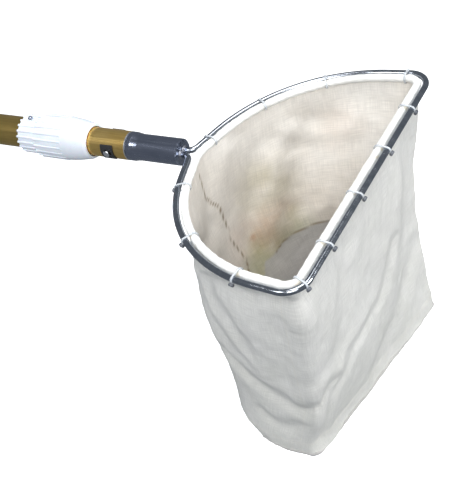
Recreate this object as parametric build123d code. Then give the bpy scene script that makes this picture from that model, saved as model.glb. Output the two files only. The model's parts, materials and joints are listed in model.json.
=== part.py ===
from build123d import *
import os
from math import atan2, cos, degrees, hypot, pi, radians, sin

# Leaf skimmer net on a two-section telescopic pole, in millimetres.
# The origin is the neck, where the pole's axis meets the hoop.
# +X runs along the pole towards the hoop's front bar, +Z is up, and the bag hangs to -Z.

# hoop: one bent steel rod
rod_radius = 3.0
hoop_front = 190.0
leg_start_x = -5.5
leg_start_y = 3.4
neck_bend_radius = 9.0
leg_heading = 75.0
leg_length = 26.0
back_radius = 152.0
side_heading = 5.0
corner_radius = 20.0

# hem: a canvas sleeve stuffed with rope, tied inside the hoop
hem_radius = 4.2
rope_radius = 3.1
hem_gap = 0.5
hem_offset = rod_radius + hem_radius + hem_gap
hem_neck_radius = 25.0

# ties: distance along half of the hem from its neck, and the side of the hoop
tie_band = 1.0
tie_width = 2.4
tie_slack = 0.15
tie_head_angle = -35.0
tie_stations_far = (22.0, 87.0, 152.0, 231.0, 287.5, 347.0)
tie_stations_near = (47.0, 121.0, 192.0, 249.0, 293.5, 357.0)

# bag: canvas sections from the mouth down
# each row: height, back x, front x, near y, far y, roundness (0 follows the hem, 1 is an ellipse),
# and how far the cloth leans back per millimetre towards its near side
canvas = 1.6
bag_sections = (
    (-3.8, 12.0, 182.3, -141.5, 141.5, 0.0, 0.0),
    (-40.0, 12.5, 185.5, -143.0, 130.0, 0.08, 0.01),
    (-80.0, 14.5, 188.0, -143.0, 112.0, 0.14, 0.035),
    (-120.0, 19.2, 188.5, -142.5, 100.0, 0.18, 0.055),
    (-160.0, 27.8, 188.5, -141.0, 96.5, 0.18, 0.075),
    (-200.0, 42.4, 188.0, -140.5, 90.5, 0.17, 0.126),
    (-228.0, 55.7, 189.0, -143.5, 88.2, 0.16, 0.18),
    (-248.0, 66.0, 186.0, -143.0, 84.0, 0.2, 0.172),
)
bag_lean_y = 85.0
bag_points = 48
front_seam_x = 166.0
bottom_seam_z = -224.0

# steel socket welded to the hoop
socket_radius = 13.1
socket_end_x = -6.0
socket_wall = 1.6
collar_radius = 14.2
collar_front_x = -58.0
insert_radius = 12.6
insert_rear_x = -146.0
plate_thickness = 2.0

# pole tubes
inner_radius = 14.3
inner_wall = 1.6
inner_front_x = -65.2
inner_rear_x = -1140.0
outer_radius = 15.875
outer_wall = 1.35
outer_front_x = -172.0
outer_rear_x = -1196.0

# snap buttons and the leaf clip that carries them
button_x = -86.3
button_radius = 3.4
button_hole_radius = 3.9
button_hole_slot = 0.9
button_top = 18.4
button_dome = 1.6
saddle_length = 14.5
saddle_thickness = 1.0
saddle_half_angle = 34.0
clip_thickness = 0.8
clip_width = 8.0
clip_bend_x = -136.0
clip_bend_radius = 4.4
clip_tip_y = 10.2
clip_gap = 0.3

# twist lock
base_rear_x = -196.0
base_front_x = -174.0
base_radius = 18.9
base_ribs = 20
base_rib = 1.3
nut_rear_x = -173.4
nut_front_x = -110.0
nut_radius = 21.4
nut_ribs = 20
nut_rib = 1.5
nut_rib_front_x = -139.0
nut_mouth_radius = 17.3
nut_bore = 18.7
thread_pitch = 3.0
thread_core = 17.4
thread_crest = 18.3
collet_slots = 6

# guide bush on the inner tube's rear end
bush_front_x = -1143.6
bush_rear_x = -1156.0
bush_radius = 14.45
bush_bore = 9.05

# hand grip and end cap
grip_radius = 17.7
grip_front_x = -1034.0
grip_rear_x = -1194.0
cap_flange_x = -1200.5
eye_hole_radius = 4.5
eye_center_x = -1219.0
eye_half_width = 11.0
eye_thickness = 9.0


def along_x(x, turn=0.0):
    """A plane at x whose normal is +X, turned about the pole's axis."""
    return Plane(origin=(x, 0, 0), x_dir=(0, cos(radians(turn)), sin(radians(turn))), z_dir=(1, 0, 0))


def turned(points):
    """A solid of revolution about the pole's axis from (x, radius) corners."""
    outline = Polyline(*[(x, 0, r) for x, r in points], close=True)
    return revolve(make_face(outline), Axis.X)


def tube(x0, x1, outside, inside):
    return turned([(x0, inside), (x1, inside), (x1, outside), (x0, outside)])


def rod_between(start, end, radius):
    start, end = Vector(*start), Vector(*end)
    way = end - start
    return extrude(Plane(origin=start, z_dir=way) * Circle(radius), way.length)


def hoop_half():
    """One half of the hoop's centre line, from the socket to the middle of the front bar."""
    stub = Line((leg_start_x - 2, leg_start_y), (leg_start_x + 2, leg_start_y))
    bend = JernArc(stub @ 1, stub % 1, neck_bend_radius, leg_heading)
    leg = Line(bend @ 1, (bend @ 1) + (bend % 1) * leg_length)
    back = JernArc(leg @ 1, leg % 1, back_radius, side_heading - leg_heading)
    reach = corner_radius * (1 + sin(radians(side_heading)))
    side_length = (hoop_front - reach - (back @ 1).X) / cos(radians(side_heading))
    side = Line(back @ 1, (back @ 1) + (back % 1) * side_length)
    corner = JernArc(side @ 1, side % 1, corner_radius, -90 - side_heading)
    bar = Line(corner @ 1, ((corner @ 1).X, 0))
    return [stub, bend, leg, back, side, corner, bar]


def hem_half():
    """One half of the hem's centre line, from the neck to the middle of the front bar."""
    leg, back, side = hoop_half()[2:5]
    inward = Vector(sin(radians(leg_heading)), -cos(radians(leg_heading))) * hem_offset
    leg_end = (leg @ 1) + inward
    heading = radians(leg_heading)
    meet_x = leg_end.X - leg_end.Y / sin(heading) * cos(heading)
    start_x = meet_x + hem_neck_radius / sin(heading) - hem_neck_radius
    neck = JernArc((start_x, 0), (0, 1), hem_neck_radius, leg_heading - 90)
    hem_leg = Line(neck @ 1, leg_end)
    hem_back = JernArc(leg_end, leg % 1, back_radius - hem_offset, side_heading - leg_heading)
    hem_side = Line(hem_back @ 1, (hem_back @ 1) + (side % 1) * side.length)
    hem_corner = JernArc(hem_side @ 1, side % 1, corner_radius - hem_offset, -90 - side_heading)
    bar = Line(hem_corner @ 1, ((hem_corner @ 1).X, 0))
    return [neck, hem_leg, hem_back, hem_side, hem_corner, bar]


def whole(half):
    return Wire(half + [edge.mirror(Plane.XZ) for edge in half])


def hoop_rod():
    half = hoop_half()
    return sweep(Plane(origin=half[0] @ 0, z_dir=(1, 0, 0)) * Circle(rod_radius), path=whole(half))


def hem_ring(radius):
    """A closed ring along the hem, swept as two halves that meet on the pole's axis."""
    half = hem_half()
    path = Wire(half)
    side = sweep(Plane(origin=half[0] @ 0, z_dir=(0, 1, 0)) * Circle(radius), path=path)
    return side + side.mirror(Plane.XZ)


def hem_sleeve():
    return hem_ring(hem_radius) - hem_ring(rope_radius)


def tie(station, side):
    """A cable tie round the rod and the hem, with its head outside and below the rod."""
    path = Wire(hem_half())
    place = path.position_at(station, position_mode=PositionMode.LENGTH)
    way = path.tangent_at(station, position_mode=PositionMode.LENGTH)
    outward = Vector(-way.Y, way.X, 0)
    if outward.dot(Vector(place.X - hoop_front / 2, place.Y, 0)) < 0:
        outward = outward * -1
    frame = Plane(origin=place, x_dir=outward, z_dir=outward.cross(Vector(0, 0, 1)))
    inside = tie_loop(tie_slack)
    outside = tie_loop(tie_slack + tie_band)
    band = extrude(frame * (outside - inside), tie_width / 2, both=True)
    reach = rod_radius + 2.2
    lean = radians(tie_head_angle)
    head_plane = frame * Pos(hem_offset + reach * cos(lean), reach * sin(lean)) * Rot(0, 0, tie_head_angle)
    head = extrude(head_plane * RectangleRounded(2.8, 4.6, 0.6), 2.2, both=True)
    window = extrude(frame * outside, 5, both=True)
    solid = band + (head - window)
    return solid if side > 0 else solid.mirror(Plane.XZ)


def tie_loop(margin):
    """The taut outline round the hem's and the rod's sections, both seen end on."""
    small, large = rod_radius + margin, hem_radius + margin
    lean = degrees(atan2(large - small, hem_offset))
    top_large = (large * sin(radians(lean)), large * cos(radians(lean)))
    top_small = (hem_offset + small * sin(radians(lean)), small * cos(radians(lean)))
    bridge = Polygon(
        top_large, top_small, (top_small[0], -top_small[1]), (top_large[0], -top_large[1]), align=None
    )
    return Circle(large) + Pos(hem_offset, 0) * Circle(small) + bridge


def bag_ring(row, inset=0.0, drop=0.0):
    """A closed section of the bag: the hem's outline, rounded and moved as the cloth hangs."""
    height, back, front, near, far, roundness, lean = row
    back, front, near, far = back + inset, front - inset, near + inset, far - inset
    hem = whole(hem_half())
    box = hem.bounding_box()
    points = []
    for step in range(bag_points):
        place = hem.position_at((step + 0.5) / bag_points)
        across = 2 * (place.X - box.min.X) / box.size.X - 1
        sideways = place.Y / box.max.Y
        reach = hypot(across, sideways)
        across = (1 - roundness) * across + roundness * across / reach
        sideways = (1 - roundness) * sideways + roundness * sideways / reach
        x = (back + front) / 2 + across * (front - back) / 2
        y = (near + far) / 2 + sideways * (far - near) / 2
        points.append((x + lean * min(0.0, y - bag_lean_y), y, height + drop))
    return Spline(*points, periodic=True)


def bag_shell():
    outer_rings = [make_face(bag_ring(row)) for row in bag_sections]
    outer = loft(outer_rings)
    inner_rings = [make_face(bag_ring(row, canvas, canvas)) for row in bag_sections]
    inner = loft(inner_rings)
    mouth = extrude(inner_rings[0], 10, dir=(0, 0, 1))
    return outer - inner - mouth


def bag_panels():
    shell = bag_shell()
    front_space = Pos(front_seam_x + 100, 0, 0) * Box(200, 400, 600)
    bottom_space = Pos(0, 0, bottom_seam_z - 100) * Box(600, 600, 200)
    bottom = shell & bottom_space
    sides = shell - bottom_space
    return {"bag_front": sides & front_space, "bag_wrap": sides - front_space, "bag_bottom": bottom}


def neck_socket():
    """The steel socket: an insert for the pole, a stop collar and the plain front end."""
    bore = insert_radius - socket_wall
    front_bore = socket_radius - socket_wall
    return turned([
        (insert_rear_x, bore),
        (collar_front_x + 6, bore),
        (collar_front_x + 8, front_bore),
        (socket_end_x, front_bore),
        (socket_end_x, socket_radius - 1.0),
        (socket_end_x - 1.0, socket_radius),
        (collar_front_x + 6, socket_radius),
        (collar_front_x + 3, socket_radius + 0.35),
        (collar_front_x, collar_radius - 0.3),
        (collar_front_x - 1.5, collar_radius),
        (inner_front_x + 1.2, collar_radius),
        (inner_front_x + 0.2, collar_radius - 0.8),
        (inner_front_x + 0.2, insert_radius),
        (insert_rear_x + 1.5, insert_radius),
        (insert_rear_x, insert_radius - 0.8),
    ]) - button_bores()


def socket_end_plate():
    disc = Circle(socket_radius - socket_wall)
    plate = extrude(along_x(socket_end_x - plate_thickness) * disc, plate_thickness)
    for side in (1, -1):
        plate -= rod_between((-12, side * leg_start_y, 0), (0, side * leg_start_y, 0), rod_radius)
    return plate


def neck_weld():
    """The weld beads round each rod leg where it meets the end plate."""
    beads = []
    for side in (1, -1):
        cone = revolve(
            make_face(Polyline(
                (socket_end_x, side * leg_start_y + side * rod_radius),
                (socket_end_x + 1.5, side * leg_start_y + side * rod_radius),
                (socket_end_x, side * (leg_start_y + rod_radius + 1.9)),
                close=True,
            )),
            Axis((0, side * leg_start_y, 0), (1, 0, 0)),
        )
        half_space = Pos(0, side * 50, 0) * Box(60, 100, 60)
        beads.append(cone & half_space)
    return Compound(children=beads)


def button_bores():
    """The holes for both buttons, a little longer towards the hoop because the leaves swing."""
    rear = Pos(button_x, 0, 0) * Rot(90, 0, 0) * Cylinder(button_hole_radius, 60)
    front = Pos(button_hole_slot, 0, 0) * rear
    between = Box(button_hole_slot, 60, 2 * button_hole_radius)
    return rear + front + Pos(button_x + button_hole_slot / 2, 0, 0) * between


def inner_tube():
    body = tube(inner_rear_x, inner_front_x, inner_radius, inner_radius - inner_wall)
    return body - button_bores()


def saddle(side):
    """A thin plastic pad hugging the inner tube round its button hole."""
    ring = tube(
        button_x - saddle_length / 2, button_x + saddle_length / 2,
        inner_radius + saddle_thickness, inner_radius,
    )
    edge = 40 * sin(radians(saddle_half_angle)) / cos(radians(saddle_half_angle))
    wedge = extrude(
        along_x(button_x - 20) * Polygon((0, 0), (-40, edge), (-40, -edge), align=None), 40
    )
    pad = (ring & wedge) - button_bores()
    return pad if side < 0 else pad.mirror(Plane.XZ)


def clip_bend():
    ring = Cylinder(clip_bend_radius, clip_width)
    ring -= Cylinder(clip_bend_radius - clip_thickness, clip_width + 2)
    return (Pos(clip_bend_x, 0, 0) * ring) & (Pos(clip_bend_x - 20, 0, 0) * Box(40, 40, 40))


def clip_leg(side):
    """One leaf of the clip, from the bend to just past the button."""
    start = (clip_bend_x + clip_gap, clip_bend_radius - clip_thickness / 2)
    tip = (button_x + 7, clip_tip_y)
    middle = (button_x - 7, clip_tip_y)
    line = Polyline((start[0], side * start[1]), (middle[0], side * middle[1]), (tip[0], side * tip[1]))
    leaf = extrude(offset_strip(line, side), clip_width / 2, both=True)
    return leaf


def offset_strip(line, side):
    points = [vertex.center() for vertex in line.vertices()]
    points.sort(key=lambda point: point.X)
    upper = [(p.X, p.Y - side * clip_thickness) for p in reversed(points)]
    return make_face(Polyline(*[(p.X, p.Y) for p in points], *upper, close=True))


def snap_button(side):
    """A domed steel button whose foot stands on the leaf."""
    foot = clip_tip_y + 0.05
    stem = Cylinder(button_radius, button_top - foot, align=(Align.CENTER, Align.CENTER, Align.MIN))
    dome_radius = (button_radius ** 2 + button_dome ** 2) / (2 * button_dome)
    dome = Pos(0, 0, button_top - foot - dome_radius) * Sphere(dome_radius)
    button = Pos(button_x, foot, 0) * Rot(-90, 0, 0) * (stem & dome_cut(dome, dome_radius))
    return button if side > 0 else button.mirror(Plane.XZ)


def dome_cut(dome, dome_radius):
    """The sphere with a long body below it, so that it only rounds the stem's top."""
    return dome + Pos(0, 0, -dome_radius) * Cylinder(dome_radius * 0.999, 4 * dome_radius)


def inner_tube_plug():
    """The plug in the rear of the inner tube, with the stub that the guide bush turns on."""
    return turned([
        (bush_rear_x - 0.3, 0),
        (bush_rear_x - 0.3, bush_bore - 0.05),
        (bush_front_x + 0.3, bush_bore - 0.05),
        (bush_front_x + 0.3, inner_radius),
        (inner_rear_x, inner_radius),
        (inner_rear_x, inner_radius - inner_wall - 0.05),
        (inner_rear_x + 28, inner_radius - inner_wall - 0.05),
        (inner_rear_x + 30, inner_radius - inner_wall - 1.5),
        (inner_rear_x + 30, 0),
    ]) - tube_hole(bush_rear_x - 5, 17, 1.6)


def tube_hole(x, depth, radius):
    return extrude(along_x(x) * Circle(radius), depth)


def bush_washer():
    return tube(bush_rear_x - 1.6, bush_rear_x - 0.3, 12.0, 2.2)


def bush_screw():
    return turned([
        (bush_rear_x - 4.0, 0),
        (bush_rear_x - 4.0, 2.4),
        (bush_rear_x - 3.2, 3.6),
        (bush_rear_x - 1.6, 3.8),
        (bush_rear_x - 1.6, 1.55),
        (bush_rear_x + 10, 1.55),
        (bush_rear_x + 11.5, 0),
    ])


def guide_bush():
    """A plastic ring that turns on the plug and slides in the outer tube, with grease grooves."""
    ring = tube(bush_rear_x, bush_front_x, bush_radius, bush_bore)
    for x in (bush_rear_x + 4, bush_rear_x + 8):
        ring -= tube(x, x + 1.2, bush_radius + 1, bush_radius - 0.8)
    return ring


def outer_tube():
    return tube(outer_rear_x, outer_front_x, outer_radius, outer_radius - outer_wall)


def ribs(x0, x1, radius, count, size):
    """Rounded ribs along the pole, spaced evenly round it."""
    bars = []
    for index in range(count):
        angle = 2 * pi * (index + 0.5) / count
        centre = (x0, radius * cos(angle), radius * sin(angle))
        bars.append(extrude(Plane(origin=centre, z_dir=(1, 0, 0)) * Circle(size), x1 - x0))
    return bars


def lock_base():
    """The fixed ribbed collar on the outer tube, with the threaded sleeve for the nut."""
    body = turned([
        (base_rear_x, outer_radius),
        (base_rear_x, base_radius - 1.2),
        (base_rear_x + 1.2, base_radius),
        (base_front_x - 0.6, base_radius),
        (base_front_x, base_radius - 0.6),
        (base_front_x, thread_core),
        (base_front_x + 34, thread_core),
        (base_front_x + 34, 16.1),
        (outer_front_x + 0.2, 16.1),
        (outer_front_x + 0.2, outer_radius),
    ])
    for bar in ribs(base_rear_x, base_front_x - 0.8, base_radius - 0.4, base_ribs, base_rib):
        body += bar
    root = thread_core - 0.2
    for turn in range(4):
        x = base_front_x + 12 + turn * thread_pitch
        body += turned([(x, root), (x + 0.9, thread_crest), (x + 1.3, thread_crest), (x + 2.2, root)])
    return body


def grip_collet():
    """The slotted ring that the nut closes on the inner tube."""
    body = turned([
        (base_front_x + 2.4, inner_radius + 0.08),
        (base_front_x + 50, inner_radius + 0.08),
        (base_front_x + 50, 14.9),
        (base_front_x + 46, 15.7),
        (base_front_x + 2.4, 15.9),
    ])
    for index in range(collet_slots):
        slot = Box(34, 1.6, 8)
        body -= Rot(360 * index / collet_slots, 0, 0) * Pos(base_front_x + 37, 0, 15.2) * slot
    return body


def clamp_ring():
    """The cone ring between the nut's taper and the collet."""
    return turned([
        (-138.5, 16.2),
        (-128.5, 16.2),
        (-128.5, 16.9),
        (-138.5, 18.3),
    ])


def lock_nut():
    """The rotating ribbed barrel with a smooth tapered mouth."""
    body = turned([
        (nut_rear_x, nut_bore),
        (nut_rear_x, nut_radius - 1.0),
        (nut_rear_x + 1.0, nut_radius - 0.2),
        (nut_rear_x + 18, nut_radius + 0.4),
        (nut_rib_front_x, nut_radius + 0.4),
        (nut_rib_front_x + 6, nut_radius - 0.1),
        (nut_rib_front_x + 13, nut_radius - 0.9),
        (nut_rib_front_x + 20, nut_radius - 2.1),
        (nut_front_x - 3, nut_radius - 3.2),
        (nut_front_x, nut_mouth_radius - 0.6),
        (nut_front_x, 15.3),
        (-121.5, 15.3),
        (-127.5, 17.2),
        (-139.0, nut_bore),
    ])
    for bar in ribs(nut_rear_x + 0.6, nut_rib_front_x, nut_radius - 0.5, nut_ribs, nut_rib):
        body += bar
    return body


def collar_rivets():
    """Two blind rivets that fix the collar to the outer tube."""
    rivets = []
    for side in (1, -1):
        head = Pos(-185, 0, side * (base_radius + 1.1)) * Sphere(2.4)
        head = head & (Pos(-185, 0, side * (base_radius + 3.1)) * Box(8, 8, 4))
        rivets.append(head)
    return Compound(children=rivets)


def hand_grip():
    """A vinyl sleeve over the butt, tapered down to the tube at its front end."""
    return turned([
        (grip_rear_x, outer_radius),
        (grip_rear_x, grip_radius),
        (grip_front_x - 3, grip_radius),
        (grip_front_x, outer_radius + 0.5),
        (grip_front_x, outer_radius),
    ])


def end_cap():
    """The butt's plug, flange and hanging eye."""
    cap = turned([
        (outer_rear_x + 22, 0),
        (outer_rear_x + 22, 13.4),
        (outer_rear_x + 20, outer_radius - outer_wall - 0.05),
        (outer_rear_x, outer_radius - outer_wall - 0.05),
        (outer_rear_x, 16.8),
        (cap_flange_x + 1, 16.8),
        (cap_flange_x, 15.8),
        (cap_flange_x, 0),
    ])
    tab_length = cap_flange_x - eye_center_x
    tab = Pos(eye_center_x + tab_length / 2, 0, 0) * Box(tab_length, 2 * eye_half_width, eye_thickness)
    tab += Pos(eye_center_x, 0, 0) * Cylinder(eye_half_width, eye_thickness)
    return cap + tab - Pos(eye_center_x, 0, 0) * Cylinder(eye_hole_radius, 40)


def build():
    pieces = {
        "hoop_rod": hoop_rod(),
        "neck_socket": neck_socket(),
        "socket_end_plate": socket_end_plate(),
        "neck_weld": neck_weld(),
        "inner_tube": inner_tube(),
        "saddle_near": saddle(-1),
        "saddle_far": saddle(1),
        "clip_bend": clip_bend(),
        "clip_leg_near": clip_leg(-1),
        "clip_leg_far": clip_leg(1),
        "snap_button_near": snap_button(-1),
        "snap_button_far": snap_button(1),
        "inner_tube_plug": inner_tube_plug(),
        "bush_washer": bush_washer(),
        "bush_screw": bush_screw(),
        "guide_bush": guide_bush(),
        "outer_tube": outer_tube(),
        "lock_base": lock_base(),
        "collar_rivets": collar_rivets(),
        "grip_collet": grip_collet(),
        "clamp_ring": clamp_ring(),
        "lock_nut": lock_nut(),
        "hand_grip": hand_grip(),
        "end_cap": end_cap(),
        "hem_sleeve": hem_sleeve(),
        "hem_rope": hem_ring(rope_radius),
    }
    pieces.update(bag_panels())
    for index, station in enumerate(tie_stations_far):
        pieces[f"tie_far_{index + 1}"] = tie(station, 1)
    for index, station in enumerate(tie_stations_near):
        pieces[f"tie_near_{index + 1}"] = tie(station, -1)
    return pieces


os.makedirs("parts", exist_ok=True)
for name, piece in build().items():
    export_step(piece, f"parts/{name}.step")
    print(name, round(piece.volume))
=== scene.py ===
import bmesh
import bpy
import json
from math import atan2, cos, exp, hypot, pi, radians, sin
from mathutils import Matrix, Quaternion, Vector, noise


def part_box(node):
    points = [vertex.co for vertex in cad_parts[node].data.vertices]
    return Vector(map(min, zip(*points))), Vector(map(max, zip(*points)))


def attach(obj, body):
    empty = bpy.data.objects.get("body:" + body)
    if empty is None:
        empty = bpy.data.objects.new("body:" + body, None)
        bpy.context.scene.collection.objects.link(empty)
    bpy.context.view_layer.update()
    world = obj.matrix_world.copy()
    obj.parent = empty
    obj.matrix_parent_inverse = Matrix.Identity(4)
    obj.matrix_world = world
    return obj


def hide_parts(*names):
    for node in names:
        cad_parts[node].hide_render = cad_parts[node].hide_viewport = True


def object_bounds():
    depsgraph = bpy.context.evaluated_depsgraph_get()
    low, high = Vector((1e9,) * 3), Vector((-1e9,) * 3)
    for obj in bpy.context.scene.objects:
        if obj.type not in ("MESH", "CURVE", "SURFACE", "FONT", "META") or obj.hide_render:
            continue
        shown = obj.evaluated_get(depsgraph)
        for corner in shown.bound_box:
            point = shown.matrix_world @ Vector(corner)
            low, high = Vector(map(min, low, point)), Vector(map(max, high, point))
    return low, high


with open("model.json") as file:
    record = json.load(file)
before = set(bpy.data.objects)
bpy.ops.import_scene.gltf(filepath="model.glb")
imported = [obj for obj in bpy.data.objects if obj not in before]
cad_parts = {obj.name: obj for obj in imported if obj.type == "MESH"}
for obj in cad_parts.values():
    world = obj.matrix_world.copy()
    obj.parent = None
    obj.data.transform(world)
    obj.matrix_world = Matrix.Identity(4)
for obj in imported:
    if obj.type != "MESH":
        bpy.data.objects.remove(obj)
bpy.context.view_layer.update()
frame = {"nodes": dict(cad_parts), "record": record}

nodes = frame["nodes"]
scene = bpy.context.scene
print("frame loaded:", len(nodes), "nodes")

# camera, light and floor

studio = {
    "eye": (0.6018, -0.6913, 0.6437), "aim": (0.0602, -0.0503, -0.0676), "roll": -18.93, "lens": 84.77,
    "floorDrop": 0.55, "floorSize": 14.0,
}


def makeCamera():
    data = bpy.data.cameras.new("studioCamera")
    data.lens = studio["lens"]
    data.sensor_width = 36
    cam = bpy.data.objects.new("studioCamera", data)
    scene.collection.objects.link(cam)
    back = Vector(studio["eye"]) - Vector(studio["aim"])
    turn = back.to_track_quat("Z", "Y") @ Quaternion((0, 0, 1), radians(studio["roll"]))
    cam.rotation_mode = "QUATERNION"
    cam.location = studio["eye"]
    cam.rotation_quaternion = turn
    data.clip_start = 0.05
    data.clip_end = 60
    scene.camera = cam
    scene.view_settings.view_transform = "Standard"


def makeLight(name, place, aim, size, power, colour=(1, 1, 1)):
    data = bpy.data.lights.new(name, "AREA")
    data.shape = "RECTANGLE"
    data.size, data.size_y = size
    data.energy = power
    data.color = colour
    light = bpy.data.objects.new(name, data)
    scene.collection.objects.link(light)
    light.location = place
    light.rotation_mode = "QUATERNION"
    light.rotation_quaternion = (Vector(place) - Vector(aim)).to_track_quat("Z", "Y")


def makeWorld():
    world = bpy.data.worlds.new("paleStudio")
    scene.world = world
    world.use_nodes = True
    tree = world.node_tree
    tree.nodes.clear()
    out = tree.nodes.new("ShaderNodeOutputWorld")
    mix = tree.nodes.new("ShaderNodeMixShader")
    path = tree.nodes.new("ShaderNodeLightPath")
    seen = tree.nodes.new("ShaderNodeBackground")
    seen.inputs["Color"].default_value = (1, 1, 1, 1)
    seen.inputs["Strength"].default_value = 1.0
    fill = tree.nodes.new("ShaderNodeBackground")
    fill.inputs["Color"].default_value = (0.86, 0.92, 1.0, 1)
    tree.links.new(remap(tree, path.outputs["Is Glossy Ray"], 0, 1, 0.42, 0.22), fill.inputs["Strength"])
    tree.links.new(path.outputs["Is Camera Ray"], mix.inputs[0])
    tree.links.new(fill.outputs[0], mix.inputs[1])
    tree.links.new(seen.outputs[0], mix.inputs[2])
    tree.links.new(mix.outputs[0], out.inputs["Surface"])


def makeFloor():
    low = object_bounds()[0].z - studio["floorDrop"]
    half = studio["floorSize"] / 2
    mesh = bpy.data.meshes.new("floor")
    corners = [(-half, -half, low), (half, -half, low), (half, half, low), (-half, half, low)]
    mesh.from_pydata(corners, [], [(0, 1, 2, 3)])
    floor = bpy.data.objects.new("floor", mesh)
    scene.collection.objects.link(floor)
    paint = newMaterial("paleFloor", (0.95, 0.95, 0.95), 0.9, Emission_Strength=0.75)[0]
    paint.node_tree.nodes["Principled BSDF"].inputs["Emission Color"].default_value = (1, 1, 1, 1)
    mesh.materials.append(paint)
    floor.visible_glossy = False
    floor.visible_diffuse = False


# node helpers

def newMaterial(name, colour, roughness, metallic=0.0, **sockets):
    made = bpy.data.materials.new(name)
    made.use_nodes = True
    tree = made.node_tree
    shader = tree.nodes["Principled BSDF"]
    shader.inputs["Base Color"].default_value = (*colour, 1)
    shader.inputs["Roughness"].default_value = roughness
    shader.inputs["Metallic"].default_value = metallic
    for socket, value in sockets.items():
        shader.inputs[socket.replace("_", " ")].default_value = value
    return made, tree, shader


def coords(tree, scale=(1, 1, 1), turn=(0, 0, 0), source="Object"):
    if source == "Object":
        start = tree.nodes.new("ShaderNodeTexCoord").outputs["Object"]
    else:
        uv = tree.nodes.new("ShaderNodeUVMap")
        uv.uv_map = source
        start = uv.outputs["UV"]
    mapping = tree.nodes.new("ShaderNodeMapping")
    mapping.inputs["Scale"].default_value = scale
    mapping.inputs["Rotation"].default_value = turn
    tree.links.new(start, mapping.inputs["Vector"])
    return mapping.outputs[0]


def noiseOf(tree, vector, scale, detail=4.0, rough=0.55):
    made = tree.nodes.new("ShaderNodeTexNoise")
    made.inputs["Scale"].default_value = scale
    made.inputs["Detail"].default_value = detail
    made.inputs["Roughness"].default_value = rough
    tree.links.new(vector, made.inputs["Vector"])
    return made.outputs["Fac"]


def remap(tree, value, fromLow, fromHigh, toLow, toHigh):
    made = tree.nodes.new("ShaderNodeMapRange")
    made.inputs["From Min"].default_value = fromLow
    made.inputs["From Max"].default_value = fromHigh
    made.inputs["To Min"].default_value = toLow
    made.inputs["To Max"].default_value = toHigh
    tree.links.new(value, made.inputs["Value"])
    return made.outputs["Result"]


def mixColour(tree, factor, first, second, blend="MIX"):
    made = tree.nodes.new("ShaderNodeMix")
    made.data_type = "RGBA"
    made.blend_type = blend
    for socket, value in ((0, factor), (6, first), (7, second)):
        if isinstance(value, (tuple, list)):
            made.inputs[socket].default_value = (*value, 1)
        elif isinstance(value, float):
            made.inputs[socket].default_value = value
        else:
            tree.links.new(value, made.inputs[socket])
    return made.outputs[2]


def attributeOf(tree, name):
    made = tree.nodes.new("ShaderNodeAttribute")
    made.attribute_name = name
    return made


def waveOf(tree, vector, direction):
    made = tree.nodes.new("ShaderNodeTexWave")
    made.bands_direction = direction
    made.inputs["Scale"].default_value = 0.5
    made.inputs["Distortion"].default_value = 0.6
    tree.links.new(vector, made.inputs["Vector"])
    return made.outputs["Fac"]


def grey(tree, value):
    # a colour with all three channels at one value
    made = tree.nodes.new("ShaderNodeCombineColor")
    for index in range(3):
        tree.links.new(value, made.inputs[index])
    return made.outputs[0]


def maths(tree, operation, first, second=0.0):
    made = tree.nodes.new("ShaderNodeMath")
    made.operation = operation
    for index, value in enumerate((first, second)):
        if isinstance(value, (int, float)):
            made.inputs[index].default_value = value
        else:
            tree.links.new(value, made.inputs[index])
    return made.outputs[0]


def bumpOf(tree, shader, height, strength, distance):
    made = tree.nodes.new("ShaderNodeBump")
    made.inputs["Strength"].default_value = strength
    made.inputs["Distance"].default_value = distance
    tree.links.new(height, made.inputs["Height"])
    tree.links.new(made.outputs[0], shader.inputs["Normal"])


# finishes

def polishedSteel():
    made, tree, shader = newMaterial("polishedSteel", (0.36, 0.39, 0.44), 0.16, 1.0)
    place = coords(tree)
    smear = noiseOf(tree, place, 240.0)
    tree.links.new(remap(tree, smear, 0.3, 0.7, 0.10, 0.24), shader.inputs["Roughness"])
    tone = mixColour(tree, smear, (0.30, 0.33, 0.38), (0.46, 0.49, 0.54))
    tree.links.new(tone, shader.inputs["Base Color"])
    bumpOf(tree, shader, noiseOf(tree, place, 900.0, 2.0), 0.08, 0.0002)
    return made


def zincSteel():
    made, tree, shader = newMaterial("zincSteel", (0.30, 0.34, 0.44), 0.22, 1.0)
    along = coords(tree, (6.0, 160.0, 160.0))
    grain = noiseOf(tree, along, 3.0)
    cloud = noiseOf(tree, coords(tree), 90.0)
    tone = mixColour(tree, cloud, (0.20, 0.24, 0.33), (0.42, 0.45, 0.57))
    tree.links.new(mixColour(tree, 0.35, tone, mixColour(tree, grain, (0.2, 0.23, 0.3), (0.5, 0.53, 0.62))),
                   shader.inputs["Base Color"])
    tree.links.new(remap(tree, grain, 0.3, 0.7, 0.16, 0.30), shader.inputs["Roughness"])
    bumpOf(tree, shader, grain, 0.12, 0.0002)
    return made


def weldSteel():
    made, tree, shader = newMaterial("weldSteel", (0.32, 0.34, 0.40), 0.35, 1.0)
    beads = noiseOf(tree, coords(tree), 700.0, 3.0)
    tone = mixColour(tree, beads, (0.16, 0.17, 0.20), (0.55, 0.57, 0.64))
    tree.links.new(tone, shader.inputs["Base Color"])
    bumpOf(tree, shader, beads, 0.6, 0.0006)
    return made


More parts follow.
